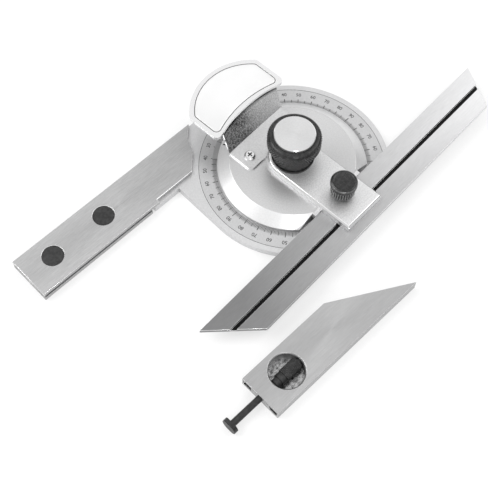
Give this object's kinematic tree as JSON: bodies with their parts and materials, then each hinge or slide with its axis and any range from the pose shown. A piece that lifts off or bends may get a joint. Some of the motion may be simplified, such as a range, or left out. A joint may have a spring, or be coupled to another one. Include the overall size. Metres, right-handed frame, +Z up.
{
  "type": "universal bevel protractor",
  "caption": "Universal bevel protractor with a graduated plate, swivelling turret, sliding blade, clamp knobs, magnifier and a separate acute-angle attachment.",
  "frame": {"origin": "on the turret's axis, in the flat underside of the graduated plate", "axes": "+Z up out of the dial, +X from the stock towards the dial, +Y towards the measuring edge of the stock"},
  "size_m": [0.2382, 0.1427, 0.0324],
  "materials": {
    "stock_steel": "brushed satin along the stock",
    "dial_steel": "satin chrome with engraved black graduations",
    "rivet_black": "black oxide",
    "turret_chrome": "satin top and bright bevel",
    "arm_chrome": "frosted chrome with polished edges",
    "blade_steel": "finely ground along the blade",
    "knob_black": "black oxide, knurled",
    "cap_silver": "turned silver disc",
    "bright_chrome": "polished chrome",
    "lens": "clear lens",
    "bush_bronze": "bronze",
    "screw_steel": "nickel plated",
    "plain_steel": "turned steel",
    "attachment_steel": "finely ground"
  },
  "bodies": {
    "base": {"graduated_plate": "dial_steel", "top_cheek": "stock_steel", "bottom_cheek": "stock_steel", "stock_rivets": "rivet_black", "pivot_stud": "plain_steel", "back_cover": "plain_steel"},
    "turret": {"turret_disc": "turret_chrome", "pivot_bush": "bush_bronze", "vernier_plate": "dial_steel", "vernier_screws": "screw_steel", "blade_guide": "arm_chrome", "clamp_arm": "arm_chrome", "arm_dowels": "plain_steel", "magnifier_bracket": "bright_chrome", "magnifier_lens": "lens", "magnifier_screw": "screw_steel"},
    "blade": {"blade": "blade_steel"},
    "shoe": {"clamp_shoe": "plain_steel"},
    "clamp": {"clamp_screw": "knob_black", "clamp_knob": "knob_black"},
    "washer": {"lock_washer": "knob_black"},
    "lock": {"lock_knob": "knob_black", "lock_knob_cap": "cap_silver"},
    "attachment": {"attachment_body": "attachment_steel"},
    "t_bolt": {"attachment_t_bolt": "rivet_black"},
    "thumb_nut": {"attachment_thumb_nut": "knob_black", "attachment_collar": "rivet_black"}
  },
  "joints": [
    {"name": "turret_swivel", "type": "hinge", "parent": "base", "child": "turret", "pos_m": [0, 0, 0.00385], "axis": [0, 0, 1], "continuous": true},
    {"name": "blade_slide", "type": "slide", "parent": "turret", "child": "blade", "axis": [0.9985, 0.0546, 0], "range_m": [-0.07, 0.055]},
    {"name": "clamp_knob_turn", "type": "hinge", "parent": "shoe", "child": "clamp", "pos_m": [0.0017, -0.03115, 0.0137], "axis": [0, 0, 1], "range_deg": [0, 182]},
    {"name": "clamp_lift", "type": "slide", "parent": "turret", "child": "shoe", "axis": [0, 0, 1], "range_m": [0, 0.00035]},
    {"name": "lock_knob_turn", "type": "hinge", "parent": "washer", "child": "lock", "pos_m": [0, 0, 0.01455], "axis": [0, 0, 1], "range_deg": [0, 182]},
    {"name": "lock_lift", "type": "slide", "parent": "base", "child": "washer", "axis": [0, 0, 1], "range_m": [0, 0.000625]},
    {"name": "attachment_lift", "type": "slide", "parent": "base", "child": "attachment", "axis": [0, 0, 1], "range_m": [0, 0.1]},
    {"name": "thumb_nut_turn", "type": "hinge", "parent": "attachment", "child": "thumb_nut", "pos_m": [-0.0786, -0.07415, 0.0036], "axis": [1, 0, 0], "range_deg": [-722, 722]},
    {"name": "t_bolt_draw", "type": "slide", "parent": "attachment", "child": "t_bolt", "axis": [1, 0, 0], "range_m": [-0.0014, 0.0014]}
  ],
  "couplings": [
    {"joint": "clamp_knob_turn", "follows": "clamp_lift", "rad_per_m": 8976},
    {"joint": "lock_knob_turn", "follows": "lock_lift", "rad_per_m": 5026.5},
    {"joint": "thumb_nut_turn", "follows": "t_bolt_draw", "rad_per_m": 8976}
  ]
}
